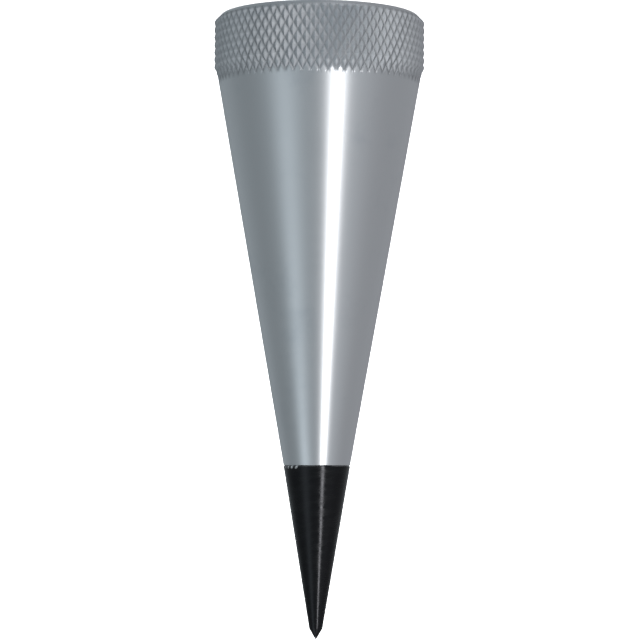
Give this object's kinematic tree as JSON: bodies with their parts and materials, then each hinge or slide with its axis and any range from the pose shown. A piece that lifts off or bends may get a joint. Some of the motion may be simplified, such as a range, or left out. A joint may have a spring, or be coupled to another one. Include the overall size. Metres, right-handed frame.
{
  "type": "conical centring punch",
  "caption": "Hand-held turned cone with a knurled flat head and a screw-in hardened point, for centring in a ring or hole and marking its middle.",
  "frame": {"origin": "centre of the head's flat face, which the tool stands on", "axes": "+Z along the tool's axis, from the head to the tip; the tool is round, so +X and +Y are any two directions across it"},
  "size_m": [0.051, 0.051, 0.15],
  "materials": {
    "turned_aluminium": "fine turned, circumferential tool marks",
    "black_oxide_steel": "satin black oxide on turned steel",
    "black_rubber": "matt"
  },
  "bodies": {
    "body": {"cone_body": "turned_aluminium"},
    "ring": {"lock_ring": "black_rubber"},
    "point": {"steel_point": "black_oxide_steel"}
  },
  "joints": [
    {"name": "point_travel", "type": "slide", "parent": "body", "child": "ring", "axis": [0, 0, 1], "range_m": [0, 0.015]},
    {"name": "point_turn", "type": "hinge", "parent": "ring", "child": "point", "pos_m": [0, 0, 0.1084], "axis": [0, 0, 1], "range_deg": [0, 4320]}
  ],
  "couplings": [
    {"joint": "point_turn", "follows": "point_travel", "rad_per_m": 5026.5}
  ]
}
